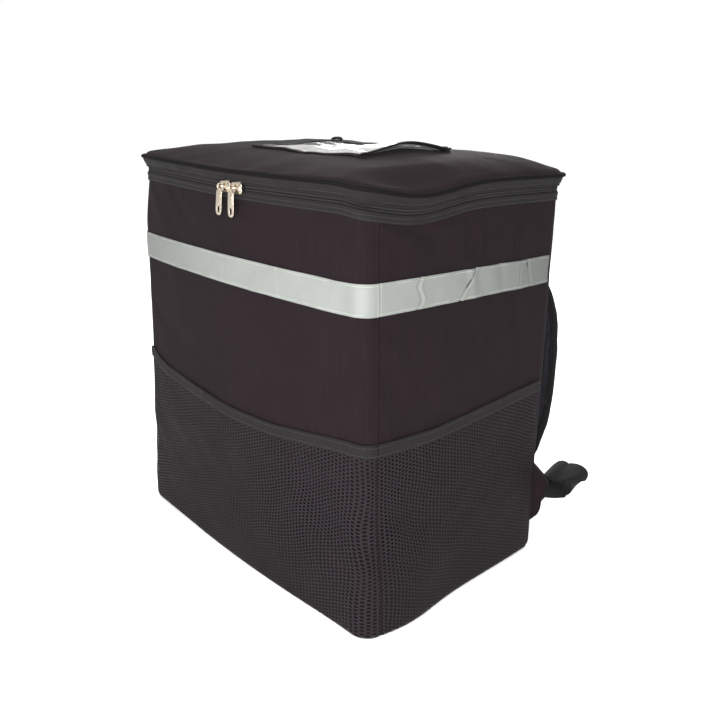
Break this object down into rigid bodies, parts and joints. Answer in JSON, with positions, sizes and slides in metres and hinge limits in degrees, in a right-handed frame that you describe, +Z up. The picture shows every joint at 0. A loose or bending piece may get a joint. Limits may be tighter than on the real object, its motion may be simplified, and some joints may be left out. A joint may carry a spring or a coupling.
{
  "type": "insulated delivery backpack",
  "caption": "Boxy insulated backpack, zipped shut, with a domed lid and clear window, reflective tape, net pockets, padded shoulder straps and swinging zipper pulls.",
  "frame": {"origin": "middle of the base of the whole part's box, on the floor plane", "axes": "+X towards the wearer's left, along the width; -Y towards the front with the zipper pulls; +Y towards the shoulder straps; +Z up"},
  "size_m": [0.4992, 0.4046, 0.4812],
  "materials": {
    "body_cloth": "woven polyester over foam, near black",
    "trim_cloth": "woven binding and piping, near black",
    "zip_tape": "woven zipper tape, near black",
    "zip_coil": "nylon coil, near black",
    "silver_tape": "reflective tape, pale grey-green",
    "net": "knitted net, near black",
    "clear_film": "clear soft film",
    "nickel": "plated zinc, warm nickel",
    "strap_cloth": "woven polyester over foam, near black",
    "webbing": "ribbed webbing, near black",
    "hard_plastic": "moulded plastic, black"
  },
  "bodies": {
    "bag": {"body_shell": "body_cloth", "lid_panel": "body_cloth", "wing_left": "body_cloth", "wing_right": "body_cloth", "lid_band": "trim_cloth", "lid_piping": "trim_cloth", "lid_hinge": "trim_cloth", "window_border": "trim_cloth", "window_lip": "trim_cloth", "pocket_binding_front": "trim_cloth", "pocket_binding_left": "trim_cloth", "pocket_binding_right": "trim_cloth", "zipper_tape_lower": "zip_tape", "zipper_tape_upper": "zip_tape", "zipper_chain": "zip_coil", "reflective_tape": "silver_tape", "net_pocket_front": "net", "net_pocket_left": "net", "net_pocket_right": "net", "window_film": "clear_film", "slider_left": "nickel", "slider_right": "nickel", "shoulder_strap_left": "strap_cloth", "shoulder_strap_right": "strap_cloth", "webbing_left": "webbing", "webbing_right": "webbing", "adjuster_left": "hard_plastic", "adjuster_right": "hard_plastic"},
    "left_pull": {"pull_left": "nickel"},
    "right_pull": {"pull_right": "nickel"}
  },
  "joints": [
    {"name": "left_pull_swing", "type": "hinge", "parent": "bag", "child": "left_pull", "pos_m": [0.0083, -0.19914, 0.435], "axis": [-1, 0, 0], "range_deg": [0, 150]},
    {"name": "right_pull_swing", "type": "hinge", "parent": "bag", "child": "right_pull", "pos_m": [0.0279, -0.19888, 0.435], "axis": [-1, 0, 0], "range_deg": [0, 150]}
  ]
}
